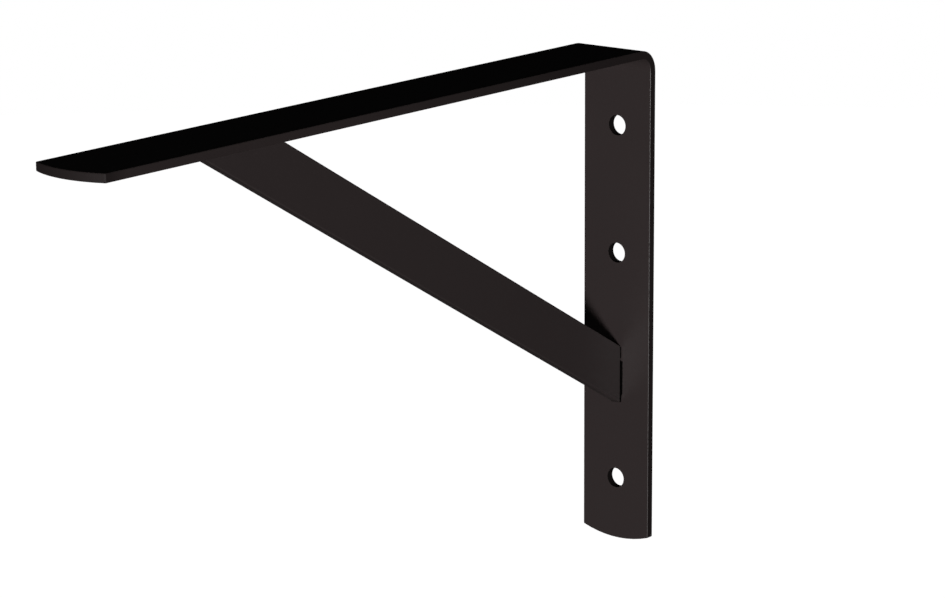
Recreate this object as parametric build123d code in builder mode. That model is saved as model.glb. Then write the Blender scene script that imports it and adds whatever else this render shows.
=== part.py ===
from build123d import *

import os
from math import atan2, cos, sin, sqrt

# Shelf bracket: one flat bar folded into a wall leg and a shelf arm, with a flat brace on edge
# welded between them. Millimetres.
# The origin is the centre of the top screw hole, in the wall plane. +X runs out from the wall
# along the shelf arm, +Z is up, and Y runs across the bar.

# Folded bar
bar_width = 32.0
bar_thickness = 3.2
arm_length = 300.0  # from the wall plane to the crown of the tip
leg_length = 200.0  # from the shelf plane to the crown of the foot
bend_radius = 5.5  # inside of the fold
bar_edge_radius = 0.35  # long edges as rolled, and the cropped ends dressed to match
tip_crown_radius = 37.0  # arc to which the end of the arm is cropped
foot_crown_radius = 48.0  # the foot of the leg is cropped a little flatter
crown_corner_radius = 0.6  # where a crown runs out into the bar's sides

# Screw holes in the wall leg
screw_hole_diameter = 8.0
top_hole_drop = 31.5  # below the shelf plane
hole_pitch = 51.0  # from the top hole down to the middle one
bottom_hole_rise = 25.0  # above the crown of the foot

# Brace, a flat strip on edge with mitred ends
brace_width = 20.0
brace_thickness = 5.0
brace_setback = 56.5  # from each end of the bar back to the brace's nearest toe
brace_edge_radius = 0.4
rollover_drop = 0.8  # the shear has drawn down one edge of the end at the leg by this much
rollover_run = 1.5  # and over this much of the brace's thickness

# Weld beads, on one side of the brace only
bead_radius = 3.0
bead_inset = 5.5  # from the brace's heel and toe to the ends of a bead
ripple_pitch = 2.2  # aimed at, and evened out along each bead

# Heights and distances that follow from the sizes above
shelf_z = top_hole_drop
underside_z = shelf_z - bar_thickness
foot_z = shelf_z - leg_length
leg_front_x = bar_thickness
hole_heights = [0.0, -hole_pitch, foot_z + bottom_hole_rise]

toe_x = arm_length - brace_setback
toe_z = foot_z + brace_setback
brace_slope = atan2(underside_z - toe_z, toe_x - leg_front_x)
heel_x = toe_x - brace_width / sin(brace_slope)
heel_z = toe_z + brace_width / cos(brace_slope)


def crowned_outline(end, crown_radius):
    """Outline of the bar seen square on, from behind the fold to a crown at x = end."""
    half_width = bar_width / 2
    crown_sag = crown_radius - sqrt(crown_radius**2 - half_width**2)
    side_end = end - crown_sag
    with BuildSketch() as outline:
        with BuildLine():
            Polyline(
                (side_end, half_width),
                (-bar_thickness, half_width),
                (-bar_thickness, -half_width),
                (side_end, -half_width),
            )
            ThreePointArc((side_end, -half_width), (end, 0), (side_end, half_width))
        make_face()
        fillet(outline.vertices().group_by(Axis.X)[-1], crown_corner_radius)
    return outline.sketch


# Bent bar: the bar's section swept along the fold, then cropped to a crown at each end
with BuildPart() as bent_bar:
    centre_x = leg_front_x - bar_thickness / 2
    centre_z = shelf_z - bar_thickness / 2
    with BuildLine(Plane.XZ) as fold:
        FilletPolyline(
            (centre_x, foot_z - bar_thickness),
            (centre_x, centre_z),
            (arm_length + bar_thickness, centre_z),
            radius=bend_radius + bar_thickness / 2,
        )
    with BuildSketch(Plane(origin=fold.line @ 0, x_dir=(1, 0, 0), z_dir=(0, 0, 1))):
        Rectangle(bar_thickness, bar_width)
    sweep(path=fold.line)

    with BuildSketch(Plane.XY):
        add(crowned_outline(arm_length, tip_crown_radius))
    extrude(amount=2 * leg_length, both=True, mode=Mode.INTERSECT)

    with BuildSketch(Plane(origin=(0, 0, shelf_z), x_dir=(0, 0, -1), z_dir=(1, 0, 0))):
        add(crowned_outline(leg_length, foot_crown_radius))
    extrude(amount=2 * arm_length, both=True, mode=Mode.INTERSECT)

    # Edges that run through the thickness or across the fold are left out of the rounding.
    outline_edges = bent_bar.edges().filter_by(lambda edge: abs(edge.length - bar_thickness) > 0.01)
    fillet(outline_edges.filter_by(Axis.Y, reverse=True), bar_edge_radius)

    with BuildSketch(Plane.YZ):
        with Locations(*[(0, height) for height in hole_heights]):
            Circle(screw_hole_diameter / 2)
    extrude(amount=bar_thickness, mode=Mode.SUBTRACT)

# Brace: its mitred ends lie flat on the front of the leg and on the underside of the arm
with BuildPart() as brace:
    with BuildSketch(Plane.XZ):
        with BuildLine():
            Polyline(
                (leg_front_x, toe_z),
                (leg_front_x, heel_z),
                (heel_x, underside_z),
                (toe_x, underside_z),
                close=True,
            )
        make_face()
    extrude(amount=brace_thickness / 2, both=True)
    # The ends keep square edges on the welded side. On the other side the edge at the leg is
    # drawn down by the shear, so the joint is open there, and the rest are broken.
    run = Axis((0, 0, 0), (cos(brace_slope), 0, sin(brace_slope)))
    open_side = brace.faces().sort_by(Axis.Y)[-1]
    drawn_edge = open_side.edges().filter_by(Axis.Z)
    chamfer(drawn_edge, rollover_drop, rollover_run, reference=open_side)
    welded_side, open_side = brace.faces().filter_by(Axis.Y).sort_by(Axis.Y)
    broken_edges = open_side.edges().filter_by(Axis.Z, reverse=True)
    fillet(broken_edges + welded_side.edges().filter_by(run), brace_edge_radius)


def weld_bead(seam, seam_length):
    """A rippled bead in the corner along a seam, which runs along the x direction of its plane.

    The outline is a chain of arcs centred on the seam, turned through the quarter circle
    from the bar's face round to the brace's side.
    """
    centres_length = seam_length - 2 * (bead_inset + bead_radius)
    gaps = max(1, round(centres_length / ripple_pitch))
    pitch = centres_length / gaps
    valley = sqrt(bead_radius**2 - (pitch / 2) ** 2)
    first = bead_inset + bead_radius
    last = first + centres_length
    shoulder = bead_radius / sqrt(2)
    with BuildPart() as bead:
        with BuildSketch(seam):
            with BuildLine():
                Line((last + bead_radius, 0), (first - bead_radius, 0))
                ThreePointArc(
                    (first - bead_radius, 0),
                    (first - shoulder, shoulder),
                    (first + pitch / 2, valley),
                )
                for ripple in range(1, gaps):
                    centre = first + ripple * pitch
                    ThreePointArc(
                        (centre - pitch / 2, valley),
                        (centre, bead_radius),
                        (centre + pitch / 2, valley),
                    )
                ThreePointArc(
                    (last - pitch / 2, valley),
                    (last + shoulder, shoulder),
                    (last + bead_radius, 0),
                )
            make_face()
        revolve(axis=Axis(seam.origin, seam.x_dir), revolution_arc=90)
    return bead


# Each seam lies where the welded side of the brace meets the bar.
seam_y = -brace_thickness / 2
leg_seam = Plane(origin=(leg_front_x, seam_y, heel_z), x_dir=(0, 0, -1), z_dir=(0, -1, 0))
arm_seam = Plane(origin=(toe_x, seam_y, underside_z), x_dir=(-1, 0, 0), z_dir=(0, -1, 0))
leg_weld = weld_bead(leg_seam, heel_z - toe_z)
arm_weld = weld_bead(arm_seam, toe_x - heel_x)

pieces = {
    "bent_bar": bent_bar,
    "brace": brace,
    "leg_weld": leg_weld,
    "arm_weld": arm_weld,
}
os.makedirs("parts", exist_ok=True)
for name, piece in pieces.items():
    piece.part.label = name
    export_step(piece.part, f"parts/{name}.step")
    print(name, "solids", len(piece.part.solids()), "volume", round(piece.part.volume, 2))
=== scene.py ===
# %% [markdown]
# # A black painted shelf bracket
# The bracket is one flat steel bar folded into a wall leg and a shelf arm, with a flat brace
# on edge welded between them, all under one coat of black paint. The solids come ready made
# and at their real size, so this lesson is about looks: the camera, the light of a small
# studio, and a paint that has more to it than one flat colour.

from math import cos, radians, sin

import bpy
from mathutils import Matrix, Vector


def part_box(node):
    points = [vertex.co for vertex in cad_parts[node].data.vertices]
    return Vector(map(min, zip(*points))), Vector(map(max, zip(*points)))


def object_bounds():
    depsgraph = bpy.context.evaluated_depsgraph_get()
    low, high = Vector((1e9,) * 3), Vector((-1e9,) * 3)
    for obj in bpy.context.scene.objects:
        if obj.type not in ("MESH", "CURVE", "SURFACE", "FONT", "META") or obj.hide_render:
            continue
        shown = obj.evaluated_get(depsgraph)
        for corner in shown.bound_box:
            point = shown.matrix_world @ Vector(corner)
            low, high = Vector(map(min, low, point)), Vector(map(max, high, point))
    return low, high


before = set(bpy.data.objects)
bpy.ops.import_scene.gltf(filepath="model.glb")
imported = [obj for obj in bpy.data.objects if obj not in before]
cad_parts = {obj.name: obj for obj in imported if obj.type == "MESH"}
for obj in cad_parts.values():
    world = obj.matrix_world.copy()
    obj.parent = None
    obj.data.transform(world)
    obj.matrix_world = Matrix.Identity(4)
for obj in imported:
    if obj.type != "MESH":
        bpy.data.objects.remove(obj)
cad_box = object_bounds()
print("solids:", sorted(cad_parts))
print("box in metres:", [[round(value, 4) for value in corner] for corner in cad_box])

# %% [markdown]
# ## Directions
# Everything is placed round the bracket by two angles and a distance, as a photographer would
# say it: so far round from straight in front of the wall, so far up or down, so far away. The
# front of the wall is +X, and round means towards +Y, the side that faces the camera.

# %% Place things round the bracket
bracket_middle = (cad_box[0] + cad_box[1]) / 2


def towards(round_degrees, up_degrees):
    """Unit vector from the bracket, turned from +X towards +Y and then raised."""
    turn = radians(round_degrees)
    rise = radians(up_degrees)
    return Vector((cos(turn) * cos(rise), sin(turn) * cos(rise), sin(rise)))


def facing(direction, roll_degrees=0.0):
    """Rotation that makes a camera or lamp at that side look back along the direction."""
    turned = direction.to_track_quat("Z", "Y").to_matrix()
    return turned @ Matrix.Rotation(radians(roll_degrees), 3, "Z")


print("middle of the bracket:", [round(value, 4) for value in bracket_middle])

# %% [markdown]
# ## Camera
# The picture is taken with a long lens from the front and a little above, with the arm coming
# towards the left. A long lens keeps parallel edges nearly parallel, which is how parts are
# shown in a catalogue. The numbers come from lining up the bracket's straight edges and holes
# with the picture, and the small roll is how level the camera stood.

# %% Camera
camera_aim = Vector((0.0976, 0.0037, -0.0506))
camera_round = 39.21
camera_up = 14.03
camera_roll = -0.36
camera_distance = 1.2152
camera_lens = 124.74  # millimetres
sensor_width = 36.0  # millimetres

camera_data = bpy.data.cameras.new("camera")
camera_data.lens = camera_lens
camera_data.sensor_fit = "HORIZONTAL"
camera_data.sensor_width = sensor_width
camera = bpy.data.objects.new("camera", camera_data)
camera_side = towards(camera_round, camera_up)
camera.location = camera_aim + camera_side * camera_distance
camera.rotation_euler = facing(camera_side, camera_roll).to_euler()
bpy.context.scene.collection.objects.link(camera)
bpy.context.scene.camera = camera
bpy.context.scene.view_settings.view_transform = "Standard"
print("camera at", [round(value, 3) for value in camera.location])

# %% [markdown]
# ## White paper and dark drapes
# The bracket hangs in front of white paper, which is a plain floor a good way below it. For
# the camera, and for anything that mirrors it, the paper adds a glow of its own that brings
# it up to white, while its plain pale part still takes the bracket's shadow. Seen from
# underneath it is clear, so that the underside can be looked at too.
# Black paint shows what stands round it more than its own colour. A closed tent of dark drapes,
# which only reflections see, keeps the top of the arm as black as it is in the picture.

# %% Helpers for node trees
def add_node(tree, kind, place=(0, 0), **settings):
    """One node, with its plain settings and its unlinked input values."""
    node = tree.nodes.new(kind)
    node.location = place
    for name, value in settings.items():
        if name == "inputs":
            for socket, number in value.items():
                node.inputs[socket].default_value = number
        else:
            setattr(node, name, value)
    return node


def empty_material(name):
    """A material with nothing but its output node, and its tree."""
    material = bpy.data.materials.new(name)
    material.use_nodes = True
    tree = material.node_tree
    tree.nodes.clear()
    output = add_node(tree, "ShaderNodeOutputMaterial", (900, 0))
    return material, tree, output


def sees_background(tree):
    """One for a camera, mirror or glass ray, and nought for light off a dull surface."""
    path = add_node(tree, "ShaderNodeLightPath", (-700, 400))
    seen = add_node(tree, "ShaderNodeMath", (-500, 400), operation="MAXIMUM")
    clear = add_node(tree, "ShaderNodeMath", (-300, 400), operation="MAXIMUM")
    tree.links.new(path.outputs["Is Camera Ray"], seen.inputs[0])
    tree.links.new(path.outputs["Is Glossy Ray"], seen.inputs[1])
    tree.links.new(seen.outputs[0], clear.inputs[0])
    tree.links.new(path.outputs["Is Transmission Ray"], clear.inputs[1])
    return clear.outputs[0]


# %% Paper floor
paper_drop = 3.0  # below the origin
paper_reach = 16.0
paper_colour = (0.8, 0.8, 0.8, 1.0)
paper_glow = 1.0
round_sides = 96  # of the paper, and of the drapes further on

paper_look, tree, output = empty_material("white paper")
dull = add_node(tree, "ShaderNodeBsdfDiffuse", (0, 0), inputs={"Color": paper_colour})
glow = add_node(tree, "ShaderNodeEmission", (0, 200))
glow_level = add_node(tree, "ShaderNodeMath", (-100, 400), operation="MULTIPLY")
glow_level.inputs[1].default_value = paper_glow
both = add_node(tree, "ShaderNodeAddShader", (250, 100))
clear = add_node(tree, "ShaderNodeBsdfTransparent", (250, -150))
side = add_node(tree, "ShaderNodeNewGeometry", (250, 350))
one_sided = add_node(tree, "ShaderNodeMixShader", (600, 0))
tree.links.new(sees_background(tree), glow_level.inputs[0])
tree.links.new(glow_level.outputs[0], glow.inputs["Strength"])
tree.links.new(dull.outputs[0], both.inputs[0])
tree.links.new(glow.outputs[0], both.inputs[1])
tree.links.new(side.outputs["Backfacing"], one_sided.inputs[0])
tree.links.new(both.outputs[0], one_sided.inputs[1])
tree.links.new(clear.outputs[0], one_sided.inputs[2])
tree.links.new(one_sided.outputs[0], output.inputs["Surface"])

bpy.ops.object.select_all(action="DESELECT")
bpy.ops.mesh.primitive_circle_add(
    vertices=round_sides, radius=paper_reach, fill_type="NGON", location=(0, 0, -paper_drop)
)
paper = bpy.context.object
paper.name = "paper"
paper.data.materials.append(paper_look)
print("paper", paper_drop, "m below the top screw hole")

# %% Dark drapes
drape_radius = 4.0
drape_top = 2.0
drape_gap = 0.01  # above the paper
drape_colour = (0.004, 0.004, 0.004, 1.0)

drape_look, tree, output = empty_material("dark drape")
cloth = add_node(tree, "ShaderNodeBsdfDiffuse", (0, 0), inputs={"Color": drape_colour})
tree.links.new(cloth.outputs[0], output.inputs["Surface"])

bpy.ops.object.select_all(action="DESELECT")
bpy.ops.mesh.primitive_cylinder_add(
    vertices=round_sides,
    radius=drape_radius,
    depth=drape_top + paper_drop - drape_gap,
    end_fill_type="NGON",
    location=(bracket_middle.x, bracket_middle.y, (drape_top - paper_drop + drape_gap) / 2),
)
drapes = bpy.context.object
drapes.name = "drapes"
drapes.data.materials.append(drape_look)
drapes.visible_camera = False
drapes.visible_diffuse = False
drapes.visible_shadow = False
drapes.visible_transmission = False
print("drapes", drape_radius, "m round the bracket")

# %% [markdown]
# ## Room light
# The world is what lies beyond the paper. To the camera and to mirrors it is white, like the
# paper, and as a light it is faint, so that the shadows stay deep.

# %% Room light
room_level = 0.02
white_level = 1.0  # what the camera and mirrors see
room_colour = (1.0, 1.0, 1.0, 1.0)

world = bpy.data.worlds.new("studio")
world.use_nodes = True
bpy.context.scene.world = world
tree = world.node_tree
tree.nodes.clear()
output = add_node(tree, "ShaderNodeOutputWorld", (600, 0))
room = add_node(tree, "ShaderNodeBackground", (0, 0), inputs={"Strength": room_level})
white = add_node(tree, "ShaderNodeBackground", (0, -150), inputs={"Strength": white_level})
room.inputs["Color"].default_value = room_colour
white.inputs["Color"].default_value = room_colour
choice = add_node(tree, "ShaderNodeMixShader", (300, 0))
tree.links.new(sees_background(tree), choice.inputs[0])
tree.links.new(room.outputs[0], choice.inputs[1])
tree.links.new(white.outputs[0], choice.inputs[2])
tree.links.new(choice.outputs[0], output.inputs["Surface"])
print("room light", room_level)

# %% [markdown]
# ## Lamps
# One softbox does the work of the picture. It stands in front and to the right, level with the
# bracket, so it lights the front of the leg, the brace and the near edges, leaves the top of the
# arm unlit, and throws the brace's shadow to the left on the leg. It is small for its distance,
# which keeps the edge of that shadow fairly crisp.
# The other lamps are for the sides that the first picture doesn't show. Two softboxes light the
# back, the welded side and the underside. They are kept out of reflections, because the thin
# lower face of the brace would mirror them into the picture as a bright line. A small panel
# overhead does the opposite: it gives no light and is only there to be mirrored, so that the top
# has a sheen for someone who looks down on it.

# %% Softboxes
softbox_width = 0.5


def softbox(name, round_degrees, up_degrees, distance, watts, lights=True, mirrored=True):
    """A square soft lamp that faces the middle of the bracket."""
    lamp = bpy.data.lights.new(name, "AREA")
    lamp.shape = "SQUARE"
    lamp.size = softbox_width
    lamp.energy = watts
    side = towards(round_degrees, up_degrees)
    holder = bpy.data.objects.new(name, lamp)
    holder.location = bracket_middle + side * distance
    holder.rotation_euler = facing(side).to_euler()
    holder.visible_camera = False
    holder.visible_diffuse = lights
    holder.visible_glossy = mirrored
    bpy.context.scene.collection.objects.link(holder)
    print(name, "at", [round(value, 2) for value in holder.location], watts, "W")


softbox("front_softbox", round_degrees=34, up_degrees=-1, distance=3.0, watts=106.0)
softbox("back_softbox", round_degrees=205, up_degrees=-22, distance=1.6, watts=30.0, mirrored=False)
softbox("side_softbox", round_degrees=261, up_degrees=-8, distance=1.6, watts=20.0, mirrored=False)
softbox("top_panel", round_degrees=0, up_degrees=90, distance=1.5, watts=1.5, lights=False)

# %% [markdown]
# ## The paint film
# Sprayed paint is never quite even. It dries with a faint orange peel, its gloss and tone drift
# a little from place to place, a few specks of dust are caught under it, and the lengthwise
# rolling marks of the steel still show through where the light grazes. All the pieces share
# these effects, so they are built once, as a shader node group, and each material puts in its
# own values.

# %% Helpers for node groups
def new_group(name, takes, gives):
    """An empty shader node group with named sockets, and its input and output nodes."""
    group = bpy.data.node_groups.new(name, "ShaderNodeTree")
    for socket, kind, value in takes:
        made = group.interface.new_socket(socket, in_out="INPUT", socket_type=kind)
        if value is not None:
            made.default_value = value
    for socket, kind in gives:
        group.interface.new_socket(socket, in_out="OUTPUT", socket_type=kind)
    entry = add_node(group, "NodeGroupInput", (-900, 0))
    leave = add_node(group, "NodeGroupOutput", (900, 0))
    return group, entry, leave


def noise(tree, vector, scale, detail, place):
    """Smooth noise round nought, from about -0.5 to 0.5."""
    texture = add_node(tree, "ShaderNodeTexNoise", place)
    texture.inputs["Scale"].default_value = scale
    texture.inputs["Detail"].default_value = detail
    tree.links.new(vector, texture.inputs["Vector"])
    centred = add_node(tree, "ShaderNodeMath", (place[0] + 180, place[1]), operation="SUBTRACT")
    centred.inputs[1].default_value = 0.5
    tree.links.new(texture.outputs[0], centred.inputs[0])
    return centred.outputs[0]


def times_plus(tree, first, second, third, place):
    """first times second plus third, where each is a socket or a number."""
    node = add_node(tree, "ShaderNodeMath", place, operation="MULTIPLY_ADD")
    for socket, value in zip(node.inputs, (first, second, third)):
        if isinstance(value, (int, float)):
            socket.default_value = value
        else:
            tree.links.new(value, socket)
    return node.outputs[0]


# %% Paint film group
paint_film, entry, leave = new_group(
    "paint film",
    [
        ("Run", "NodeSocketVector", None),
        ("Colour", "NodeSocketColor", (0.03, 0.02, 0.02, 1.0)),
        ("Tone Drift", "NodeSocketFloat", 0.1),
        ("Roughness", "NodeSocketFloat", 0.4),
        ("Gloss Drift", "NodeSocketFloat", 0.05),
        ("Peel", "NodeSocketFloat", 1.0),
        ("Marks", "NodeSocketFloat", 0.5),
        ("Nibs", "NodeSocketFloat", 1.0),
    ],
    [
        ("Color", "NodeSocketColor"),
        ("Roughness", "NodeSocketFloat"),
        ("Height", "NodeSocketFloat"),
    ],
)
coords = add_node(paint_film, "ShaderNodeTexCoord", (-900, 400))
print("node group", paint_film.name, "for all the pieces")

# %% Drift, orange peel and rolling marks
drift_scale = 22.0  # noise cells to the metre, so patches of some 45 mm
peel_scale = 620.0  # about 1.6 mm from crest to crest
mark_scale = 900.0  # rolling marks about a millimetre apart, across the run
mark_stretch = 0.02  # and fifty times as long as they are wide

drift = noise(paint_film, coords.outputs["Object"], drift_scale, detail=2.0, place=(-650, 400))
peel = noise(paint_film, coords.outputs["Object"], peel_scale, detail=1.0, place=(-650, 200))

stretch = add_node(paint_film, "ShaderNodeVectorMath", (-650, 0), operation="MULTIPLY")
stretch.inputs[1].default_value = (mark_stretch, 1.0, 1.0)
paint_film.links.new(entry.outputs["Run"], stretch.inputs[0])
marks = noise(paint_film, stretch.outputs[0], mark_scale, detail=2.0, place=(-450, 0))
print("noise cells to the metre:", drift_scale, peel_scale, mark_scale)

# %% Dust nibs
nib_scale = 160.0  # one cell for each 6 mm
nib_radius = 0.07  # in cells
nib_share = 0.18  # of the cells hold a nib

cells = add_node(paint_film, "ShaderNodeTexVoronoi", (-650, -250))
cells.inputs["Scale"].default_value = nib_scale
paint_film.links.new(coords.outputs["Object"], cells.inputs["Vector"])
speck = add_node(paint_film, "ShaderNodeMapRange", (-400, -200), interpolation_type="SMOOTHSTEP")
speck.inputs["From Min"].default_value = nib_radius
speck.inputs["From Max"].default_value = 0.0
paint_film.links.new(cells.outputs["Distance"], speck.inputs["Value"])
chance = add_node(paint_film, "ShaderNodeSeparateColor", (-400, -450))
paint_film.links.new(cells.outputs["Color"], chance.inputs[0])
few = add_node(paint_film, "ShaderNodeMath", (-200, -450), operation="LESS_THAN")
few.inputs[1].default_value = nib_share
paint_film.links.new(chance.outputs["Red"], few.inputs[0])
nibs = add_node(paint_film, "ShaderNodeMath", (0, -300), operation="MULTIPLY")
paint_film.links.new(speck.outputs[0], nibs.inputs[0])
paint_film.links.new(few.outputs[0], nibs.inputs[1])
print("nibs in", nib_share, "of the cells")

# %% Put the film together
level = times_plus(paint_film, drift, entry.outputs["Tone Drift"], 1.0, (200, 400))
tone = add_node(paint_film, "ShaderNodeVectorMath", (450, 400), operation="SCALE")
paint_film.links.new(entry.outputs["Colour"], tone.inputs[0])
paint_film.links.new(level, tone.inputs["Scale"])
gloss = times_plus(
    paint_film, drift, entry.outputs["Gloss Drift"], entry.outputs["Roughness"], (450, 200)
)
marked = times_plus(paint_film, marks, entry.outputs["Marks"], 0.0, (200, 0))
peeled = times_plus(paint_film, peel, entry.outputs["Peel"], marked, (450, 0))
height = times_plus(paint_film, nibs.outputs[0], entry.outputs["Nibs"], peeled, (650, -100))
paint_film.links.new(tone.outputs[0], leave.inputs["Color"])
paint_film.links.new(gloss, leave.inputs["Roughness"])
paint_film.links.new(height, leave.inputs["Height"])
print("node group", paint_film.name, "with", len(paint_film.nodes), "nodes")

# %% [markdown]
# ## The open joint
# On the side towards the camera the brace isn't welded. The shear drew its edge down there, so
# a groove is left between brace and leg. A mask marks a near-black strip along it, with a ragged
# edge, reaching just onto the leg. It is read off a ramp that runs down the joint from the brace's
# heel to its toe and says how far the strip reaches out: a little at first, then not at all for a
# short stretch, then to its full width.

# %% Ramp of values
def value_ramp(tree, stops, place):
    """A ramp that turns a share into a value, from a list of (share, value) stops in order."""
    node = add_node(tree, "ShaderNodeValToRGB", place)
    elements = node.color_ramp.elements
    elements[0].position = stops[0][0]
    elements[1].position = stops[-1][0]
    for share, _ in stops[1:-1]:
        elements.new(share)
    for element, (_, value) in zip(elements, stops):
        element.color = (value, value, value, 1.0)
    return node


# %% Open joint group
joint_top = -0.0888  # height of the brace's heel
joint_foot = -0.1120  # and of its toe
joint_welded = -0.0026  # the ramp counts from this side of the brace
joint_full = 0.0032  # and ends here, just outside the open side
joint_margin = 0.0002  # kept clear on the welded side
joint_back = 0.0029  # just under the front of the leg
joint_front = 0.00405  # just past the edge that was drawn down
joint_ragged = 0.00018  # how far the edge of the strip wanders
joint_soft = 0.00005  # half the width over which it fades
rag_scale = 1100.0  # about a millimetre from one wander to the next
# How far down the joint, and how far the strip reaches out
joint_stops = [
    (0.0, 0.0),
    (0.01, 0.88),
    (0.20, 0.87),
    (0.22, 0.76),
    (0.24, 0.76),
    (0.26, 1.0),
    (0.83, 1.0),
    (0.87, 0.92),
    (0.99, 0.90),
    (1.0, 0.0),
]

open_joint, _, leave = new_group("open joint", [], [("Joint Line", "NodeSocketFloat")])
coords = add_node(open_joint, "ShaderNodeTexCoord", (-900, 0))
split = add_node(open_joint, "ShaderNodeSeparateXYZ", (-700, 0))
open_joint.links.new(coords.outputs["Object"], split.inputs[0])
down = add_node(open_joint, "ShaderNodeMapRange", (-500, 0))
down.inputs["From Min"].default_value = joint_top
down.inputs["From Max"].default_value = joint_foot
open_joint.links.new(split.outputs["Z"], down.inputs["Value"])
reach = value_ramp(open_joint, joint_stops, (-300, 0))
open_joint.links.new(down.outputs[0], reach.inputs[0])
limit = times_plus(open_joint, reach.outputs[0], joint_full - joint_welded, joint_welded, (0, 0))
rag = noise(open_joint, coords.outputs["Object"], rag_scale, detail=1.0, place=(-300, -300))
ragged = times_plus(open_joint, rag, joint_ragged, limit, (200, 0))
inside = add_node(open_joint, "ShaderNodeMath", (400, 0), operation="SUBTRACT")
open_joint.links.new(ragged, inside.inputs[0])
open_joint.links.new(split.outputs["Y"], inside.inputs[1])
edge = add_node(open_joint, "ShaderNodeMapRange", (550, 0), interpolation_type="SMOOTHSTEP")
edge.inputs["From Min"].default_value = -joint_soft
edge.inputs["From Max"].default_value = joint_soft
open_joint.links.new(inside.outputs[0], edge.inputs["Value"])
joint_line = edge.outputs[0]
for axis, operation, value in (
    ("Y", "GREATER_THAN", joint_welded + joint_margin),
    ("X", "GREATER_THAN", joint_back),
    ("X", "LESS_THAN", joint_front),
):
    test = add_node(open_joint, "ShaderNodeMath", (550, -200), operation=operation)
    test.inputs[1].default_value = value
    open_joint.links.new(split.outputs[axis], test.inputs[0])
    product = add_node(open_joint, "ShaderNodeMath", (700, -200), operation="MULTIPLY")
    open_joint.links.new(joint_line, product.inputs[0])
    open_joint.links.new(test.outputs[0], product.inputs[1])
    joint_line = product.outputs[0]
open_joint.links.new(joint_line, leave.inputs["Joint Line"])
print("node group", open_joint.name, "with", len(open_joint.nodes), "nodes")

# %% [markdown]
# ## Sheared sides, cropped ends and holes
# Where the bar was sheared, cropped or punched the metal is rough, so the paint dries duller
# and darker there than on the rolled faces. A mask finds these cut faces by the way they point:
# a rolled face of the leg points along X, one of the arm along Z, and in the fold anything in
# between, so whatever points another way has been cut. How much darker they are is read off a
# second ramp, along the arm: a little everywhere for the duller paint, more near the wall, which
# is painted shade, and more again on the tip. The walls of the holes, which are the cut faces in
# the middle of the leg, are darkened most of all, which is painted shade inside the holes.

# %% Cut faces group
fold_end_x = 0.0087  # the arm is flat from here on
fold_end_z = 0.0228  # and the leg from here down
rolled_above = 0.6  # square of the normal's share, over which a face counts as rolled
cut_below = 0.3  # and under which it counts as cut

cut_faces, _, leave = new_group(
    "cut faces", [], [("Cut", "NodeSocketFloat"), ("Darker", "NodeSocketFloat")]
)
coords = add_node(cut_faces, "ShaderNodeTexCoord", (-900, 0))
split = add_node(cut_faces, "ShaderNodeSeparateXYZ", (-700, 0))
cut_faces.links.new(coords.outputs["Object"], split.inputs[0])
surface = add_node(cut_faces, "ShaderNodeNewGeometry", (-900, -300))
points = add_node(cut_faces, "ShaderNodeSeparateXYZ", (-700, -300))
cut_faces.links.new(surface.outputs["Normal"], points.inputs[0])
rolled = 0.0
for axis, operation, value in (
    ("X", "LESS_THAN", fold_end_x),
    ("Z", "GREATER_THAN", fold_end_z),
):
    here = add_node(cut_faces, "ShaderNodeMath", (-450, 0), operation=operation)
    here.inputs[1].default_value = value
    cut_faces.links.new(split.outputs[axis], here.inputs[0])
    along = add_node(cut_faces, "ShaderNodeMath", (-300, -200), operation="MULTIPLY")
    cut_faces.links.new(points.outputs[axis], along.inputs[0])
    cut_faces.links.new(here.outputs[0], along.inputs[1])
    rolled = times_plus(cut_faces, along.outputs[0], points.outputs[axis], rolled, (-100, -200))
cut = add_node(cut_faces, "ShaderNodeMapRange", (150, -200), interpolation_type="SMOOTHSTEP")
cut.inputs["From Min"].default_value = rolled_above
cut.inputs["From Max"].default_value = cut_below
cut_faces.links.new(rolled, cut.inputs["Value"])
print("a face is cut where the square along a rolled normal is under", cut_below)

# %% How dark the cut faces are
arm_reach = 0.3  # from the wall to the tip
# How far along the arm, and how much darker: duller paint, plus painted shade near the wall
cut_dulling_and_shade_stops = [(0.0, 0.46), (0.35, 0.32), (0.6, 0.1), (0.955, 0.12), (0.98, 0.45)]
bar_middle = 0.0
hole_reach = 0.005  # the holes lie within this of the middle of the bar
# Painted shade inside the holes: their walls are darkened further
hole_painted_shade = 0.28

along_arm = add_node(cut_faces, "ShaderNodeMath", (-450, 250), operation="DIVIDE")
along_arm.inputs[1].default_value = arm_reach
cut_faces.links.new(split.outputs["X"], along_arm.inputs[0])
shade = value_ramp(cut_faces, cut_dulling_and_shade_stops, (-250, 250))
cut_faces.links.new(along_arm.outputs[0], shade.inputs[0])
in_hole = add_node(cut_faces, "ShaderNodeMath", (-450, 450), operation="COMPARE")
in_hole.inputs[1].default_value = bar_middle
in_hole.inputs[2].default_value = hole_reach
cut_faces.links.new(split.outputs["Y"], in_hole.inputs[0])
on_leg = add_node(cut_faces, "ShaderNodeMath", (-450, 650), operation="LESS_THAN")
on_leg.inputs[1].default_value = fold_end_x
cut_faces.links.new(split.outputs["X"], on_leg.inputs[0])
hole = add_node(cut_faces, "ShaderNodeMath", (-250, 500), operation="MULTIPLY")
cut_faces.links.new(in_hole.outputs[0], hole.inputs[0])
cut_faces.links.new(on_leg.outputs[0], hole.inputs[1])
shaded = times_plus(cut_faces, hole.outputs[0], hole_painted_shade, shade.outputs[0], (150, 350))
darker = add_node(cut_faces, "ShaderNodeMath", (400, 100), operation="MULTIPLY")
cut_faces.links.new(shaded, darker.inputs[0])
cut_faces.links.new(cut.outputs[0], darker.inputs[1])
cut_faces.links.new(cut.outputs[0], leave.inputs["Cut"])
cut_faces.links.new(darker.outputs[0], leave.inputs["Darker"])
print("node group", cut_faces.name, "with", len(cut_faces.nodes), "nodes")
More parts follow.
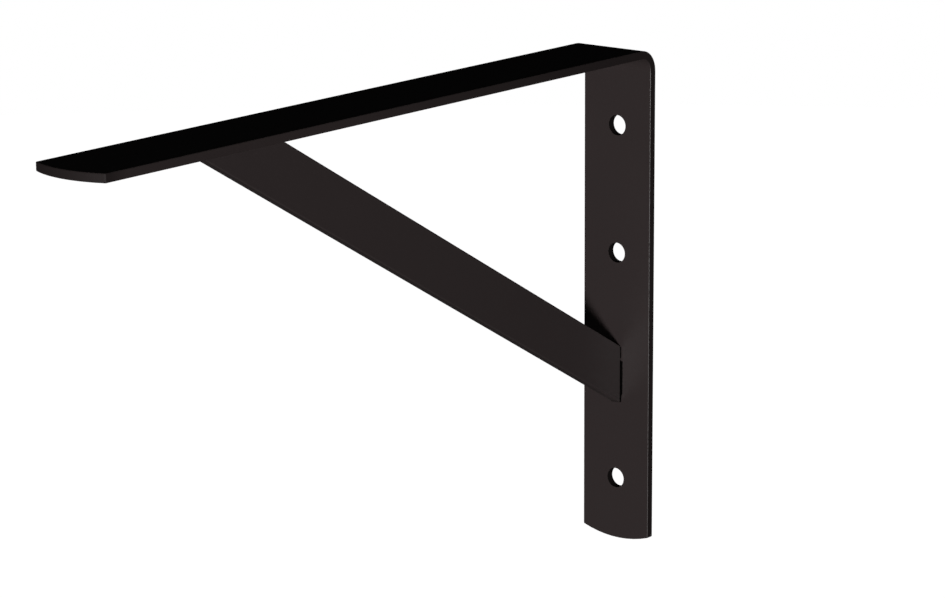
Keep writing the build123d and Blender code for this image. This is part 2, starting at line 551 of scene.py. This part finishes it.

# %% [markdown]
# ## Black paint on each piece
# The film's base is a black with a little red in it. Most of its satin gloss lies in the clear top
# of the film, which the shader's coat stands for. Where the metal was cut the film breaks up, and
# along the near-black strip of the open joint the mask takes the coat away too, so there the
# masks leave the shader's own faint sheen, which is the same all over.
# What differs from piece to piece is the direction in which the steel was rolled, and how lumpy
# the metal is under the paint. On the bar the run is measured round the fold: on the arm it grows
# with X and on the leg it grows as Z falls, so X minus Z does for both. On the brace it follows
# the slope.

# %% Paint for any piece
paint_colour = (0.0268, 0.0203, 0.0203, 1.0)
paint_gloss = 0.42  # roughness of the shader
base_sheen = 0.12  # of the pigment under the film's top, where 0.5 would be bare varnish
film_coat = 0.66  # weight of the film's clear top
film_depth = 0.00004  # metres, what one unit of the film's height stands for
joint_line_colour = (0.0006, 0.0005, 0.0005, 1.0)  # at the bottom of the open joint
cut_roughening = 0.2


def black_paint(name, run_nodes, values, has_open_joint=False, has_cut_faces=False):
    """Paint over one kind of piece. run_nodes makes the socket that runs along its steel."""
    material, tree, output = empty_material(name)
    film = add_node(tree, "ShaderNodeGroup", (0, 0), node_tree=paint_film)
    film.inputs["Colour"].default_value = paint_colour
    film.inputs["Roughness"].default_value = paint_gloss
    for socket, value in values.items():
        film.inputs[socket].default_value = value
    tree.links.new(run_nodes(tree), film.inputs["Run"])
    bump = add_node(tree, "ShaderNodeBump", (250, -200))
    bump.inputs["Strength"].default_value = 1.0
    bump.inputs["Distance"].default_value = film_depth
    tree.links.new(film.outputs["Height"], bump.inputs["Height"])
    colour = film.outputs["Color"]
    roughness = film.outputs["Roughness"]
    coat = film_coat
    if has_cut_faces:
        cut = add_node(tree, "ShaderNodeGroup", (0, 500), node_tree=cut_faces)
        # Cut faces darker: duller paint, plus painted shade near the wall and in the holes
        level = times_plus(tree, cut.outputs["Darker"], -1.0, 1.0, (150, 500))
        dimmed = add_node(tree, "ShaderNodeVectorMath", (150, 300), operation="SCALE")
        tree.links.new(colour, dimmed.inputs[0])
        tree.links.new(level, dimmed.inputs["Scale"])
        colour = dimmed.outputs[0]
        roughness = times_plus(tree, cut.outputs["Cut"], cut_roughening, roughness, (250, 0))
        coat = times_plus(tree, cut.outputs["Cut"], -film_coat, coat, (250, 500))
    if has_open_joint:
        joint = add_node(tree, "ShaderNodeGroup", (0, 300), node_tree=open_joint)
        joint_lined = add_node(tree, "ShaderNodeMix", (250, 200), data_type="RGBA")
        joint_lined.inputs["B"].default_value = joint_line_colour
        tree.links.new(joint.outputs["Joint Line"], joint_lined.inputs["Factor"])
        tree.links.new(colour, joint_lined.inputs["A"])
        colour = joint_lined.outputs["Result"]
        coat = times_plus(tree, joint.outputs["Joint Line"], -film_coat, coat, (350, 400))
    shader = add_node(tree, "ShaderNodeBsdfPrincipled", (500, 0))
    shader.inputs["Specular IOR Level"].default_value = base_sheen
    shader.inputs["Coat Weight"].default_value = film_coat
    shader.inputs["Coat Roughness"].default_value = values.get("Roughness", paint_gloss)
    if has_open_joint or has_cut_faces:
        tree.links.new(coat, shader.inputs["Coat Weight"])
    tree.links.new(colour, shader.inputs["Base Color"])
    tree.links.new(roughness, shader.inputs["Roughness"])
    tree.links.new(bump.outputs[0], shader.inputs["Normal"])
    tree.links.new(shader.outputs[0], output.inputs["Surface"])
    print("material", name)
    return material


# %% Which way the steel was rolled
def run_round_the_fold(tree):
    """X minus Z along the folded bar, and Y across it."""
    coords = add_node(tree, "ShaderNodeTexCoord", (-800, 0))
    split = add_node(tree, "ShaderNodeSeparateXYZ", (-600, 0))
    along = add_node(tree, "ShaderNodeMath", (-400, 0), operation="SUBTRACT")
    joined = add_node(tree, "ShaderNodeCombineXYZ", (-200, 0))
    tree.links.new(coords.outputs["Object"], split.inputs[0])
    tree.links.new(split.outputs["X"], along.inputs[0])
    tree.links.new(split.outputs["Z"], along.inputs[1])
    tree.links.new(along.outputs[0], joined.inputs["X"])
    tree.links.new(split.outputs["Y"], joined.inputs["Y"])
    return joined.outputs[0]


def run_up_the_slope(tree):
    """Turned so that X runs along the brace."""
    brace_low, brace_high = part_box("brace")
    coords = add_node(tree, "ShaderNodeTexCoord", (-800, 0))
    turn = add_node(tree, "ShaderNodeMapping", (-500, 0))
    slope = Vector((brace_high.x - brace_low.x, brace_high.z - brace_low.z)).angle_signed(
        Vector((1.0, 0.0))
    )
    turn.inputs["Rotation"].default_value = (0.0, slope, 0.0)
    tree.links.new(coords.outputs["Object"], turn.inputs["Vector"])
    return turn.outputs[0]


# %% Paint the pieces
brace_gloss = 0.52  # roughness; the strip is duller than the bar
weld_peel = 2.5  # the beads are lumpier than rolled steel
weld_nibs = 2.0

bar_paint = black_paint(
    "black paint on the bar", run_round_the_fold, {}, has_open_joint=True, has_cut_faces=True
)
brace_paint = black_paint(
    "black paint on the brace", run_up_the_slope, {"Roughness": brace_gloss}, has_open_joint=True
)
weld_paint = black_paint(
    "black paint on the weld",
    run_up_the_slope,
    {"Peel": weld_peel, "Marks": 0.0, "Nibs": weld_nibs},
)

finishes = {
    "bent_bar": bar_paint,
    "brace": brace_paint,
    "leg_weld": weld_paint,
    "arm_weld": weld_paint,
}
for name, finish in finishes.items():
    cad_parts[name].data.materials.clear()
    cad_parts[name].data.materials.append(finish)
    print(name, "has", finish.name)
